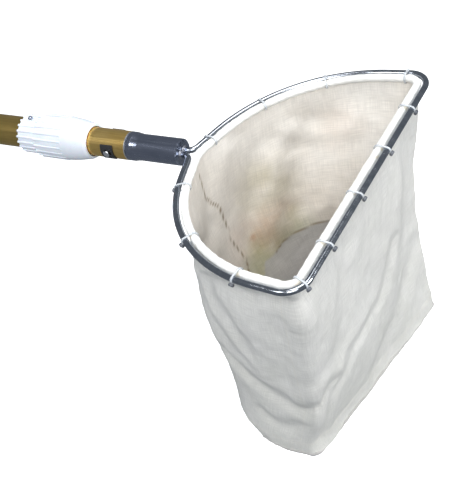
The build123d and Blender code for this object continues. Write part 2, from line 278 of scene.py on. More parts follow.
def anodised(name, deep, bright, roughness, cutX):
    # anodised tube with drawn lines along it and a bare ring at its cut end
    made, tree, shader = newMaterial(name, bright, roughness, 1.0)
    lines = noiseOf(tree, coords(tree, (3.0, 260.0, 260.0)), 4.0)
    cloud = noiseOf(tree, coords(tree), 28.0)
    dye = mixColour(tree, remap(tree, cloud, 0.3, 0.7, 0.0, 1.0), deep, bright)
    drawn = tuple(min(1, c * 1.25) for c in bright)
    dye = mixColour(tree, remap(tree, lines, 0.35, 0.75, 0.0, 0.35), dye, drawn)
    split = tree.nodes.new("ShaderNodeSeparateXYZ")
    tree.links.new(coords(tree), split.inputs[0])
    bare = remap(tree, split.outputs[0], cutX - 0.0012, cutX - 0.0006, 0.0, 1.0)
    tree.links.new(mixColour(tree, bare, dye, (0.93, 0.92, 0.88)), shader.inputs["Base Color"])
    rough = remap(tree, lines, 0.3, 0.7, roughness - 0.05, roughness + 0.08)
    tree.links.new(rough, shader.inputs["Roughness"])
    bumpOf(tree, shader, lines, 0.10, 0.0002)
    return made


def mouldedPlastic(name, colour, shade, roughness, grain=500.0, depth=0.0002, **sockets):
    made, tree, shader = newMaterial(name, colour, roughness, 0.0, **sockets)
    place = coords(tree)
    cloud = noiseOf(tree, place, 35.0)
    tone = mixColour(tree, remap(tree, cloud, 0.35, 0.7, 0.0, 1.0), colour, shade)
    tree.links.new(tone, shader.inputs["Base Color"])
    fine = noiseOf(tree, place, grain, 3.0)
    rough = remap(tree, fine, 0.3, 0.7, roughness - 0.06, roughness + 0.08)
    tree.links.new(rough, shader.inputs["Roughness"])
    bumpOf(tree, shader, fine, 0.25, depth)
    return made


print("making finishes")
tubeEnds = {"inner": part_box("inner_tube")[1].x, "outer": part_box("outer_tube")[1].x}
finishes = {
    "steel_rod": polishedSteel(),
    "steel_socket": zincSteel(),
    "weld": weldSteel(),
    "gold_inner": anodised("brightGold", (0.80, 0.50, 0.13), (0.95, 0.66, 0.24), 0.34, tubeEnds["inner"]),
    "gold_outer": anodised("oldGold", (0.52, 0.36, 0.10), (0.70, 0.50, 0.17), 0.34, tubeEnds["outer"]),
    "saddle": mouldedPlastic("blackPad", (0.012, 0.013, 0.015), (0.03, 0.03, 0.032), 0.5),
    "spring_steel": zincSteel(),
    "button_steel": newMaterial("buttonSteel", (0.85, 0.86, 0.88), 0.12, 1.0)[0],
    "plug_plastic": mouldedPlastic("darkPlug", (0.03, 0.03, 0.032), (0.05, 0.05, 0.05), 0.55),
    "bush_plastic": mouldedPlastic("bushWhite", (0.82, 0.82, 0.78), (0.70, 0.69, 0.64), 0.45),
    "lock_plastic": mouldedPlastic("lockWhite", (0.80, 0.84, 0.90), (0.70, 0.75, 0.82), 0.32, 260.0,
                                   Subsurface_Weight=0.12, Subsurface_Scale=0.004, Coat_Weight=0.15),
    "collet_plastic": mouldedPlastic("colletGrey", (0.72, 0.74, 0.76), (0.6, 0.62, 0.64), 0.4),
    "grip_vinyl": mouldedPlastic("gripBlack", (0.02, 0.021, 0.024), (0.045, 0.045, 0.05), 0.62,
                                 900.0, 0.0004),
    "cap_plastic": mouldedPlastic("capBlack", (0.025, 0.025, 0.028), (0.045, 0.045, 0.05), 0.5,
                                  700.0, 0.0003),
    "rope": mouldedPlastic("ropeFibre", (0.80, 0.76, 0.66), (0.68, 0.63, 0.52), 0.8, 300.0, 0.0006),
}
slotOf = {part["node"]: part["material_slot"] for part in frame["record"]["subparts"]}
for name, node in nodes.items():
    finish = finishes.get(slotOf[name])
    if finish:
        for index in range(max(1, len(node.material_slots))):
            if node.material_slots:
                node.material_slots[index].material = finish
            else:
                node.data.materials.append(finish)


# the hem's path, which the ties, the hem and the bag share

hoopPlan = {
    "rod": 0.003, "front": 0.190, "legStart": (-0.0035, 0.0034), "bend": 0.009,
    "legHeading": 75.0, "leg": 0.026,
    "back": 0.152, "sideHeading": 5.0, "corner": 0.020, "hemGap": 0.0005, "hem": 0.0042, "neckRound": 0.025,
}


def arcPoints(start, heading, radius, turn, steps):
    # points on a tangent arc that turns clockwise by turn degrees, without its first point
    h = radians(heading)
    centre = Vector((start.x + radius * sin(h), start.y - radius * cos(h), 0))
    made = []
    for step in range(1, steps + 1):
        a = h + pi / 2 - radians(turn) * step / steps
        made.append(Vector((centre.x + radius * cos(a), centre.y + radius * sin(a), 0)))
    return made


def hemLine():
    # the hem's closed centre line, from the neck and round the far side first
    p = hoopPlan
    offset = p["rod"] + p["hem"] + p["hemGap"]
    heading = radians(p["legHeading"])
    startX, startY = p["legStart"]
    bendEnd = Vector((startX + p["bend"] * sin(heading), startY + p["bend"] * (1 - cos(heading)), 0))
    legEnd = bendEnd + Vector((cos(heading), sin(heading), 0)) * p["leg"]
    legEnd += Vector((sin(heading), -cos(heading), 0)) * offset
    meetX = legEnd.x - legEnd.y / sin(heading) * cos(heading)
    start = Vector((meetX + p["neckRound"] / sin(heading) - p["neckRound"], 0, 0))
    line = [start]
    line += arcPoints(line[-1], 90, p["neckRound"], 90 - p["legHeading"], 8)
    line.append(legEnd)
    turn = p["legHeading"] - p["sideHeading"]
    line += arcPoints(legEnd, p["legHeading"], p["back"] - offset, turn, 60)
    reach = (p["corner"] - offset) * (1 + sin(radians(p["sideHeading"])))
    barX = p["front"] - offset
    run = (barX - reach - line[-1].x) / cos(radians(p["sideHeading"]))
    sideWay = Vector((cos(radians(p["sideHeading"])), sin(radians(p["sideHeading"])), 0))
    line.append(line[-1] + sideWay * run)
    line += arcPoints(line[-1], p["sideHeading"], p["corner"] - offset, 90 + p["sideHeading"], 24)
    line.append(Vector((barX, 0, 0)))
    back = [Vector((q.x, -q.y, 0)) for q in reversed(line[1:-1])]
    return line + back


def evenly(line, count):
    # the closed line again, as count points the same distance apart, and its length
    closed = line + [line[0]]
    lengths = [0.0]
    for a, b in zip(closed, closed[1:]):
        lengths.append(lengths[-1] + (b - a).length)
    total = lengths[-1]
    made, index = [], 0
    for step in range(count):
        want = total * step / count
        while lengths[index + 1] < want:
            index += 1
        share = (want - lengths[index]) / (lengths[index + 1] - lengths[index])
        made.append(closed[index].lerp(closed[index + 1], share))
    return made, total


hemPath, hemLength = evenly(hemLine(), 720)
halfHem = hemLength / 2


def hemAt(distance):
    # place and direction at a distance along the hem from the neck
    share = (distance / hemLength) % 1.0 * len(hemPath)
    index = int(share)
    a, b = hemPath[index % len(hemPath)], hemPath[(index + 1) % len(hemPath)]
    return a.lerp(b, share - index), (b - a).normalized()


tieFar = (0.022, 0.087, 0.152, 0.231, 0.2875, 0.347)
tieNear = (0.047, 0.121, 0.192, 0.249, 0.2935, 0.357)
tieStations = list(tieFar) + [hemLength - d for d in tieNear]


def smooth(value):
    t = max(0.0, min(1.0, value))
    return t * t * (3 - 2 * t)


def bell(value, width):
    return exp(-(value / width) ** 2)


def newPiece(name, vertices, faces, materials):
    mesh = bpy.data.meshes.new(name)
    mesh.from_pydata(vertices, [], faces)
    for paint in materials:
        mesh.materials.append(paint)
    mesh.polygons.foreach_set("use_smooth", [True] * len(mesh.polygons))
    mesh.update()
    piece = bpy.data.objects.new(name, mesh)
    scene.collection.objects.link(piece)
    return piece


# cloth finishes

def clothMaterial():
    # cotton canvas: grey-white outside with a grey-green tint that grows towards the bottom, cream and
    # stained inside and more olive and brown towards the bottom, in a plain weave
    made, tree, shader = newMaterial("cottonCanvas", (0.85, 0.85, 0.82), 0.85,
                                     Sheen_Weight=0.25, Sheen_Roughness=0.4)
    place = coords(tree)
    lining, stainAndTint = attributeOf(tree, "lining"), attributeOf(tree, "stainAndTint")
    patch, seam = attributeOf(tree, "greyPatch"), attributeOf(tree, "seamLine")
    cloud = remap(tree, noiseOf(tree, place, 9.0, 5.0), 0.35, 0.68, 0.0, 1.0)
    fine = noiseOf(tree, place, 60.0, 5.0)
    outside = mixColour(tree, cloud, (0.86, 0.85, 0.82), (0.77, 0.76, 0.73))
    inside = mixColour(tree, cloud, (0.97, 0.935, 0.875), (0.93, 0.875, 0.79))
    tone = mixColour(tree, lining.outputs["Fac"], outside, inside)
    split = tree.nodes.new("ShaderNodeSeparateColor")
    tree.links.new(stainAndTint.outputs["Color"], split.inputs[0])
    patchy = remap(tree, noiseOf(tree, place, 45.0, 6.0), 0.30, 0.70, 0.35, 1.0)
    # the stains, and a tint that grows towards the bottom, in olive, brown and green
    tone = mixColour(tree, maths(tree, "MULTIPLY", split.outputs[0], patchy), tone, (0.44, 0.40, 0.17))
    tone = mixColour(tree, maths(tree, "MULTIPLY", split.outputs[1], patchy), tone, (0.62, 0.40, 0.26))
    tone = mixColour(tree, maths(tree, "MULTIPLY", split.outputs[2], patchy), tone, (0.52, 0.56, 0.38))
    # a grey patch low on the far inside
    tone = mixColour(tree, patch.outputs["Fac"], tone, (0.57, 0.56, 0.55))
    tone = mixColour(tree, seam.outputs["Fac"], tone, (0.30, 0.22, 0.12))
    tone = mixColour(tree, 0.16, tone, mixColour(tree, fine, (0.5, 0.5, 0.5), (1.0, 1.0, 1.0)), "MULTIPLY")
    threads = coords(tree, (1400.0, 1400.0, 1.0), source="cut")
    warp, weft = waveOf(tree, threads, "X"), waveOf(tree, threads, "Y")
    weave = maths(tree, "ADD", warp, weft)
    crossing = maths(tree, "MULTIPLY", warp, weft)
    uneven = noiseOf(tree, coords(tree, (90.0, 900.0, 1.0), source="cut"), 1.0, 3.0)
    slub = maths(tree, "MULTIPLY", uneven, 0.8)
    crumple = maths(tree, "MULTIPLY", noiseOf(tree, place, 38.0, 6.0, 0.6), 3.0)
    bumpOf(tree, shader, maths(tree, "ADD", maths(tree, "ADD", weave, slub), crumple), 0.45, 0.0012)
    long = noiseOf(tree, coords(tree, (60.0, 1100.0, 1.0), source="cut"), 1.0, 4.0)
    high = noiseOf(tree, coords(tree, (1100.0, 60.0, 1.0), source="cut"), 1.0, 4.0)
    threadTone = maths(tree, "MULTIPLY", long, high)
    threadTone = remap(tree, threadTone, 0.15, 0.40, 0.84, 1.03)
    threadTone = maths(tree, "ADD", threadTone, maths(tree, "MULTIPLY", crossing, 0.06))
    tone = mixColour(tree, 1.0, tone, grey(tree, threadTone), "MULTIPLY")
    tree.links.new(tone, shader.inputs["Base Color"])
    return made


def hemMaterial():
    made, tree, shader = newMaterial("hemCanvas", (0.90, 0.90, 0.88), 0.8,
                                     Sheen_Weight=0.3, Sheen_Roughness=0.4)
    place = coords(tree)
    cloud = noiseOf(tree, place, 30.0, 5.0)
    tone = mixColour(tree, remap(tree, cloud, 0.3, 0.7, 0.0, 1.0), (0.90, 0.90, 0.88), (0.78, 0.78, 0.75))
    tree.links.new(tone, shader.inputs["Base Color"])
    twist = noiseOf(tree, coords(tree, (60.0, 420.0, 1.0), (0, 0, 0.35), source="cut"), 1.0, 4.0)
    weave = noiseOf(tree, coords(tree, (1500.0, 1500.0, 1.0), source="cut"), 1.0, 2.0)
    bumpOf(tree, shader, maths(tree, "ADD", maths(tree, "MULTIPLY", twist, 2.0), weave), 0.5, 0.0009)
    return made


# the bag

bagCut = {
    # height, back x, front x, near y, far y, roundness, lean of the near side towards the back
    "sections": (
        (-0.0038, 0.0120, 0.1823, -0.1415, 0.1415, 0.000, 0.000),
        (-0.0400, 0.0125, 0.1855, -0.1430, 0.1300, 0.080, 0.010),
        (-0.0800, 0.0145, 0.1880, -0.1430, 0.1120, 0.140, 0.035),
        (-0.1200, 0.0192, 0.1885, -0.1425, 0.1000, 0.180, 0.055),
        (-0.1600, 0.0278, 0.1885, -0.1410, 0.0965, 0.180, 0.075),
        (-0.2000, 0.0424, 0.1880, -0.1405, 0.0905, 0.170, 0.126),
        (-0.2280, 0.0557, 0.1890, -0.1435, 0.0882, 0.160, 0.180),
        (-0.2410, 0.0632, 0.1895, -0.1455, 0.0855, 0.155, 0.172),
    ),
    "around": 300, "down": 118, "cloth": 0.0011, "bottomRings": 30, "bottomSag": 0.01023,
}


def catmull(rows, t):
    # a smooth row between the section rows; t runs from 0 to the last row's index
    index = min(int(t), len(rows) - 2)
    f = t - index
    a = rows[max(index - 1, 0)]
    b, c = rows[index], rows[index + 1]
    d = rows[min(index + 2, len(rows) - 1)]
    return [
        0.5 * (2 * q + (r - p) * f + (2 * p - 5 * q + 4 * r - s) * f * f + (3 * q - p - 3 * r + s) * f ** 3)
        for p, q, r, s in zip(a, b, c, d)
    ]


hemMinX = min(q.x for q in hemPath)
hemMaxX = max(q.x for q in hemPath)
hemMaxY = max(q.y for q in hemPath)


def bagPoint(u, row, shrink=1.0):
    # the cloth's place at u round the bag, on one interpolated section
    height, back, front, near, far, roundness, lean = row
    place = hemAt(u * hemLength)[0]
    across = 2 * (place.x - hemMinX) / (hemMaxX - hemMinX) - 1
    side = place.y / hemMaxY
    reach = hypot(across, side)
    across = (1 - roundness) * across + roundness * across / reach
    side = (1 - roundness) * side + roundness * side / reach
    x = (back + front) / 2 + across * (front - back) / 2 * shrink
    y = (near + far) / 2 + side * (far - near) / 2 * shrink
    return Vector((x + lean * min(0.0, y - 0.085), y, height))



# folds of the hanging cloth: points along each, how deep it tucks, and its width above and below the line
bagFolds = {
    "overlap": {
        "tuck": 0.0062, "above": 0.0140, "below": 0.0045,
        "path": (
            (0.060, -0.118, -0.148), (0.078, -0.126, -0.158), (0.096, -0.133, -0.165),
            (0.113, -0.137, -0.170), (0.127, -0.137, -0.176), (0.139, -0.134, -0.181),
            (0.158, -0.128, -0.174), (0.168, -0.115, -0.165),
        ),
    },
    "lowerFold": {
        "tuck": 0.0036, "above": 0.0090, "below": 0.0050,
        "path": (
            (0.090, -0.133, -0.204), (0.106, -0.137, -0.212), (0.124, -0.137, -0.211),
            (0.138, -0.134, -0.200),
        ),
    },
    "cornerPull": {
        "tuck": -0.0038, "above": 0.0110, "below": 0.0110,
        "path": (
            (0.178, -0.139, -0.040), (0.166, -0.139, -0.082), (0.152, -0.136, -0.145),
            (0.143, -0.133, -0.193),
        ),
    },
    "cornerHollow": {
        "tuck": 0.0040, "above": 0.0150, "below": 0.0150,
        "path": (
            (0.150, -0.143, -0.055), (0.138, -0.143, -0.100), (0.130, -0.141, -0.140),
        ),
    },
    "frontSlope": {
        "tuck": 0.0030, "above": 0.0100, "below": 0.0050,
        "path": (
            (0.184, 0.024, -0.105), (0.180, -0.010, -0.148), (0.178, -0.043, -0.1485),
            (0.177, -0.071, -0.150), (0.174, -0.085, -0.162), (0.166, -0.112, -0.181),
            (0.148, -0.124, -0.228),
        ),
    },
    "frontSag": {
        "tuck": 0.0036, "above": 0.0150, "below": 0.0150,
        "path": (
            (0.188, 0.085, -0.040), (0.188, 0.062, -0.100), (0.187, 0.030, -0.170),
        ),
    },
    "frontLow": {
        "tuck": 0.0026, "above": 0.0120, "below": 0.0080,
        "path": (
            (0.188, 0.070, -0.150), (0.186, 0.020, -0.195), (0.176, -0.040, -0.222),
        ),
    },
    "frontNear": {
        "tuck": 0.0030, "above": 0.0140, "below": 0.0120,
        "path": (
            (0.184, -0.060, -0.035), (0.180, -0.075, -0.080), (0.176, -0.090, -0.120),
        ),
    },
    "hemTuck": {
        "tuck": 0.0052, "above": 0.0070, "below": 0.0100,
        "path": (
            (0.070, -0.117, -0.040), (0.095, -0.130, -0.030), (0.113, -0.135, -0.027),
            (0.130, -0.138, -0.025), (0.161, -0.140, -0.019), (0.184, -0.126, -0.020),
        ),
    },
    "nearPull": {
        "tuck": 0.0040, "above": 0.0120, "below": 0.0090,
        "path": (
            (0.060, -0.112, -0.055), (0.085, -0.128, -0.075), (0.105, -0.138, -0.110),
        ),
    },
    "nearDrape": {
        "tuck": 0.0036, "above": 0.0120, "below": 0.0100,
        "path": (
            (0.046, -0.100, -0.075), (0.068, -0.125, -0.110), (0.086, -0.135, -0.130),
        ),
    },
    "backDrape": {
        "tuck": 0.0045, "above": 0.0200, "below": 0.0160,
        "path": (
            (0.013, -0.060, -0.040), (0.016, -0.030, -0.110), (0.030, 0.010, -0.170),
        ),
    },
    "valley": {
        "tuck": 0.0062, "above": 0.0140, "below": 0.0140,
        "path": (
            (0.045, 0.065, -0.060), (0.040, 0.045, -0.105), (0.036, 0.028, -0.145),
            (0.040, 0.020, -0.180),
        ),
    },
    "farRidge": {
        "tuck": -0.0050, "above": 0.0120, "below": 0.0120,
        "path": (
            (0.075, 0.100, -0.035), (0.062, 0.080, -0.075), (0.058, 0.068, -0.115),
        ),
    },
    "farDrape": {
        "tuck": 0.0050, "above": 0.0140, "below": 0.0140,
        "path": (
            (0.115, 0.124, -0.040), (0.098, 0.105, -0.080), (0.088, 0.090, -0.120),
        ),
    },
    "farShelf": {
        "tuck": 0.0036, "above": 0.0100, "below": 0.0080,
        "path": (
            (0.055, 0.090, -0.040), (0.080, 0.108, -0.052), (0.110, 0.122, -0.050),
        ),
    },
    "leftRoll": {
        "tuck": 0.0036, "above": 0.0120, "below": 0.0120,
        "path": (
            (0.020, 0.028, -0.018), (0.018, 0.005, -0.050), (0.015, -0.020, -0.095),
        ),
    },
    "neckPull": {
        "tuck": -0.0036, "above": 0.0120, "below": 0.0120,
        "path": (
            (0.030, 0.052, -0.020), (0.034, 0.050, -0.060), (0.030, 0.035, -0.095),
        ),
    },
}
clothMoves = {
    "sway": 0.0060, "drape": 0.0036, "crumple": 0.0012, "gather": 0.0016,
    "gatherStart": 0.006, "gatherFade": 0.045, "reach": 0.05, "spread": 1.3, "ridge": 0.30,
}


def distanceTo(point, path):
    # how far a point is from a chain of points, and whether it lies below the chain
    best, below = 1e9, 0.0
    for a, b in zip(path, path[1:]):
        span = b - a
        share = max(0.0, min(1.0, (point - a).dot(span) / span.length_squared))
        near = a + span * share
        away = (point - near).length
        if away < best:
            best, below = away, near.z - point.z
    return best, below


def bagOutlines():
    # the cloth's rings from the hem down, then the bottom's rings towards its middle
    around, down, sections = bagCut["around"], bagCut["down"], bagCut["sections"]
    last = len(sections) - 1
    rings = []
    for step in range(down):
        row = catmull(sections, last * step / (down - 1))
        rings.append([bagPoint(i / around, row) for i in range(around)])
    rim = catmull(sections, last)
    for step in range(1, bagCut["bottomRings"]):
        share = step / bagCut["bottomRings"]
        sink = bagCut["bottomSag"] * (1 - (1 - share) ** 2.2)
        row = [rim[0] - sink] + list(rim[1:])
        rings.append([bagPoint(i / around, row, 1 - share) for i in range(around)])
    middle = Vector(((rim[1] + rim[2]) / 2, (rim[3] + rim[4]) / 2, rim[0] - bagCut["bottomSag"]))
    return [point for ring in rings for point in ring] + [middle], len(rings)


def ringFaces(around, ringCount):
    faces = []
    for r in range(ringCount - 1):
        for i in range(around):
            j = (i + 1) % around
            faces.append((r * around + i, r * around + j, (r + 1) * around + j, (r + 1) * around + i))
    tip, base = ringCount * around, (ringCount - 1) * around
    return faces + [(base + i, base + (i + 1) % around, tip) for i in range(around)]


def normalsOf(points, faces):
    draft = bpy.data.meshes.new("draft")
    draft.from_pydata([tuple(p) for p in points], [], faces)
    draft.update()
    normals = [v.normal.copy() for v in draft.vertices]
    bpy.data.meshes.remove(draft)
    return normals


def swellAt(p, folds):
    # how far the cloth stands out at a point: sway, drapes, crumples and
    # gathers under the hem, then the folds
    moves = clothMoves
    depthShare = min(1.0, -p.z / 0.25)
    swell = 0.0
    low = Vector((p.x * 9.0, p.y * 9.0, p.z * 4.5))
    swell += (noise.noise(low) * moves["sway"]) * smooth(depthShare * 3.0)
    drape = noise.noise(Vector((p.x * 17.0 + 7.0, p.y * 17.0, p.z * 9.0)))
    swell += drape * moves["drape"] * smooth(depthShare * 4.0)
    fine = noise.fractal(Vector((p.x * 40.0, p.y * 40.0 + 3.0, p.z * 34.0)), 0.8, 2.1, 5)
    swell += fine * moves["crumple"] * smooth(depthShare * 6.0 + 0.1)
    gather = noise.noise(Vector((p.x * 150.0, p.y * 150.0, 1.7)))
    fade = 1 - smooth((-p.z - moves["gatherStart"]) / moves["gatherFade"])
    swell += gather * moves["gather"] * smooth(-p.z / moves["gatherStart"]) * fade
    for path, fold in folds:
        away, below = distanceTo(p, path)
        if away < moves["reach"]:
            width = moves["spread"] * (fold["below"] if below > 0 else fold["above"])
            swell -= fold["tuck"] * bell(away, width)
            if fold["tuck"] > 0 and below <= 0:
                ridge = bell(away - fold["above"] * 1.5, fold["above"] * 0.8)
                swell += fold["tuck"] * moves["ridge"] * ridge
    return swell


def mapCut(mesh, count, ringCount):
    # the cloth's own flat coordinates in metres, so that the weave follows the cut
    around, down = bagCut["around"], bagCut["down"]
    cutMap = mesh.uv_layers.new(name="cut")
    for polygon in mesh.polygons:
        for loop in polygon.loop_indices:
            v = mesh.loops[loop].vertex_index % count
            share = (v % around) / around
            if v == count - 1:
                cutMap.data[loop].uv = (0.38, 0.30)
                continue
            corners = [mesh.loops[k].vertex_index % count % around for k in polygon.loop_indices]
            if share == 0 and max(corners) > around // 2:
                share = 1.0
            cutMap.data[loop].uv = (share * 0.76, min(v // around, ringCount) / down * 0.26)


def makeBag():
    around = bagCut["around"]
    folds = [([Vector(p) for p in fold["path"]], fold) for fold in bagFolds.values()]
    points, ringCount = bagOutlines()
    faces = ringFaces(around, ringCount)
    normals = normalsOf(points, faces)
    outward = 1.0 if normals[around // 4 + around * 20].y > 0 else -1.0
    skin = [p + n * outward * swellAt(p, folds) for p, n in zip(points, normals)]
    normals = [n * outward for n in normalsOf(skin, faces)]
    lining = [p - n * bagCut["cloth"] for p, n in zip(skin, normals)]
    count = len(points)
    turned = [tuple(reversed(f)) for f in faces]
    outer, inner = (faces, turned) if outward > 0 else (turned, faces)
    everyFace = list(outer) + [tuple(v + count for v in f) for f in inner]
    for i in range(around):
        j = (i + 1) % around
        rim = (i, i + count, j + count, j)
        everyFace.append(rim if outward > 0 else tuple(reversed(rim)))
    bag = newPiece("canvasBag", [tuple(p) for p in skin + lining], everyFace, [clothMaterial()])
    mapCut(bag.data, count, ringCount)
    return bag, count


stainPlan = {
    "spots": (
        ((0.036, 0.024, -0.148), 0.034, "olive", 0.85),
        ((0.045, 0.046, -0.122), 0.030, "brown", 0.55),
        ((0.055, 0.055, -0.135), 0.026, "green", 0.60),
        ((0.040, 0.050, -0.085), 0.040, "olive", 0.38),
        ((0.026, 0.010, -0.155), 0.026, "green", 0.55),
        ((0.024, 0.012, -0.120), 0.030, "brown", 0.30),
        ((0.026, -0.010, -0.165), 0.022, "olive", 0.60),
        ((0.027, 0.0195, -0.1236), 0.0035, "brown", 1.0),
        ((0.100, 0.118, -0.045), 0.030, "brown", 0.22),
    ),
    "greyEdge": (
        (0.039, 0.033, -0.150), (0.047, 0.043, -0.146), (0.058, 0.058, -0.144),
        (0.075, 0.073, -0.141), (0.090, 0.081, -0.140), (0.112, 0.092, -0.140),
    ),
    "bottomGrey": 0.85,
    "thread": (
        (-0.0120, -0.016), (-0.0115, -0.031), (-0.0118, -0.045), (-0.0027, -0.064),
        (-0.0012, -0.093), (-0.0046, -0.106), (0.0000, -0.135), (-0.0059, -0.152),
    ),
}


def paintBag(bag, count):
    # the lining, the stains with a tint that grows towards the bottom, a grey patch low on the far inside,
    # and the seams, as attributes of the cloth
    mesh = bag.data
    thread = [Vector((0, y, z)) for y, z in stainPlan["thread"]]
    edge = [Vector((0, 0.7 * (x + y), z)) for x, y, z in stainPlan["greyEdge"]]
    stainsAndTint, patches, seams = [], [], []
    for index, vertex in enumerate(mesh.vertices):
        p = vertex.co
        inside = index >= count
        depthShare = smooth((-p.z - 0.06) / 0.17)
        olive = brown = green = 0.0
        for place, radius, kind, strength in stainPlan["spots"]:
            reach = (p - Vector(place)).length
            if inside and reach < radius * 1.6:
                amount = strength * (1 - smooth((reach / radius - 0.35) / 0.9))
                olive += amount if kind == "olive" else 0
                brown += amount if kind == "brown" else 0
                green += amount if kind == "green" else 0
        # towards the bottom the lining turns more olive and brown; the outside gets a grey-green tint
        # everywhere, a little stronger towards the bottom
        if inside:
            olive += 0.10 * depthShare
            brown += 0.10 * smooth((-p.z - 0.02) / 0.12)
        else:
            green += 0.10 + 0.06 * depthShare
        stainsAndTint += [min(1, olive), min(1, brown), min(1, green), 1.0]
        # a grey patch on the lower far inside, bounded by the edge line
        away, below = distanceTo(Vector((0, 0.7 * (p.x + p.y), p.z)), edge)
        onFar = inside and p.x > 0.036 and (p.y > 0.0 or p.z < -0.20)
        patches.append(smooth(0.5 + below / 0.0016) * stainPlan["bottomGrey"] if onFar else 0.0)
        line = 0.0
        if inside and p.x < 0.050 and p.y < 0.030:
            line = 1 - smooth((distanceTo(Vector((0, p.y, p.z)), thread)[0] - 0.0003) / 0.0011)
        if onFar:
            line = max(line, 0.8 * (1 - smooth((away - 0.0003) / 0.0012)))
        seams.append(line)
    lining = [0.0] * count + [1.0] * (len(mesh.vertices) - count)
    for name, values in (("lining", lining), ("greyPatch", patches), ("seamLine", seams)):
        mesh.attributes.new(name, "FLOAT", "POINT").data.foreach_set("value", values)
    mesh.attributes.new("stainAndTint", "FLOAT_COLOR", "POINT").data.foreach_set("color", stainsAndTint)


canvasBag, bagCount = makeBag()
paintBag(canvasBag, bagCount)
print("bag:", len(canvasBag.data.polygons), "faces")


# the hem

def makeHem():
    # the hem stuffed with rope, a little proud between the ties and drawn in under them
    around, along = 16, len(hemPath)
    vertices, faces = [], []
    for index in range(along):
        distance = hemLength * index / along
        place, way = hemAt(distance)
        side = Vector((way.y, -way.x, 0))
        pinch = sum(bell((distance - s + halfHem) % hemLength - halfHem, 0.0026) for s in tieStations)
        lump = noise.noise(place * 60.0) * 0.00035 + noise.noise(place * 170.0) * 0.00016
        radius = 0.0038 + lump - 0.0005 * min(1, pinch)
        for k in range(around):
            a = 2 * pi * k / around
            twist = 0.00016 * sin(3 * a + distance * 620.0)
            r = radius + twist
            vertices.append(tuple(place + side * (r * cos(a) + 0.0004) + Vector((0, 0, r * sin(a)))))
    for i in range(along):
        for k in range(around):
            a, b = i * around + k, i * around + (k + 1) % around
            c, d = (i + 1) % along * around + (k + 1) % around, (i + 1) % along * around + k
            faces.append((a, b, c, d))
    hem = newPiece("stuffedHem", vertices, faces, [hemMaterial()])
    mesh = hem.data
    if mesh.polygons[0].normal.dot(mesh.polygons[0].center - hemPath[0]) < 0:
        mesh.flip_normals()
    cutMap = mesh.uv_layers.new(name="cut")
    for polygon in mesh.polygons:
        for loop in polygon.loop_indices:
            v = mesh.loops[loop].vertex_index
            cutMap.data[loop].uv = (v // around / along * hemLength, v % around / around * 0.027)
    return hem


stuffedHem = makeHem()
print("hem made")


# what repeats: ties, stitches and grip rings

def socketOf(tree, name):
    return next(item.identifier for item in tree.interface.items_tree if item.name == name)


def addInputs(tree, *inputs):
    for name, kind in inputs:
        tree.interface.new_socket(name, in_out="INPUT", socket_type=kind)
    tree.interface.new_socket("Geometry", in_out="OUTPUT", socket_type="NodeSocketGeometry")
    return tree.nodes.new("NodeGroupInput"), tree.nodes.new("NodeGroupOutput")


def placedTree():
    # one instance at every point of the input, turned by that point's own angle
    tree = bpy.data.node_groups.new("placedOnPoints", "GeometryNodeTree")
    start, end = addInputs(tree, ("Points", "NodeSocketGeometry"), ("Part", "NodeSocketObject"),
                           ("Finish", "NodeSocketMaterial"))
    part = tree.nodes.new("GeometryNodeObjectInfo")
    turn = tree.nodes.new("GeometryNodeInputNamedAttribute")
    turn.data_type = "FLOAT_VECTOR"
    turn.inputs["Name"].default_value = "turn"
    place = tree.nodes.new("GeometryNodeInstanceOnPoints")
    real = tree.nodes.new("GeometryNodeRealizeInstances")
    paint = tree.nodes.new("GeometryNodeSetMaterial")
    tree.links.new(start.outputs["Part"], part.inputs["Object"])
    tree.links.new(start.outputs["Points"], place.inputs["Points"])
    tree.links.new(part.outputs["Geometry"], place.inputs["Instance"])
    tree.links.new(turn.outputs["Attribute"], place.inputs["Rotation"])
    tree.links.new(place.outputs[0], real.inputs[0])
    tree.links.new(real.outputs[0], paint.inputs["Geometry"])
    tree.links.new(start.outputs["Finish"], paint.inputs["Material"])
    tree.links.new(paint.outputs[0], end.inputs[0])
    return tree


def stitchTree():
    # short stitches spaced along the input's edges, each laid along the line
    tree = bpy.data.node_groups.new("stitchesAlong", "GeometryNodeTree")
    start, end = addInputs(tree, ("Line", "NodeSocketGeometry"), ("Stitch", "NodeSocketObject"),
                           ("Spacing", "NodeSocketFloat"), ("Finish", "NodeSocketMaterial"))
    curve = tree.nodes.new("GeometryNodeMeshToCurve")
    spaced = tree.nodes.new("GeometryNodeResampleCurve")
    spaced.mode = "LENGTH"
    way = tree.nodes.new("GeometryNodeInputTangent")
    lay = tree.nodes.new("FunctionNodeAlignRotationToVector")
    lay.axis = "X"
    part = tree.nodes.new("GeometryNodeObjectInfo")
    place = tree.nodes.new("GeometryNodeInstanceOnPoints")
    real = tree.nodes.new("GeometryNodeRealizeInstances")
    paint = tree.nodes.new("GeometryNodeSetMaterial")
    tree.links.new(start.outputs["Line"], curve.inputs[0])
    tree.links.new(curve.outputs[0], spaced.inputs["Curve"])
    tree.links.new(start.outputs["Spacing"], spaced.inputs["Length"])
    tree.links.new(way.outputs[0], lay.inputs["Vector"])
    tree.links.new(start.outputs["Stitch"], part.inputs["Object"])
    tree.links.new(spaced.outputs[0], place.inputs["Points"])
    tree.links.new(part.outputs["Geometry"], place.inputs["Instance"])
    tree.links.new(lay.outputs[0], place.inputs["Rotation"])
    tree.links.new(place.outputs[0], real.inputs[0])
    tree.links.new(real.outputs[0], paint.inputs["Geometry"])
    tree.links.new(start.outputs["Finish"], paint.inputs["Material"])
    tree.links.new(paint.outputs[0], end.inputs[0])
    return tree


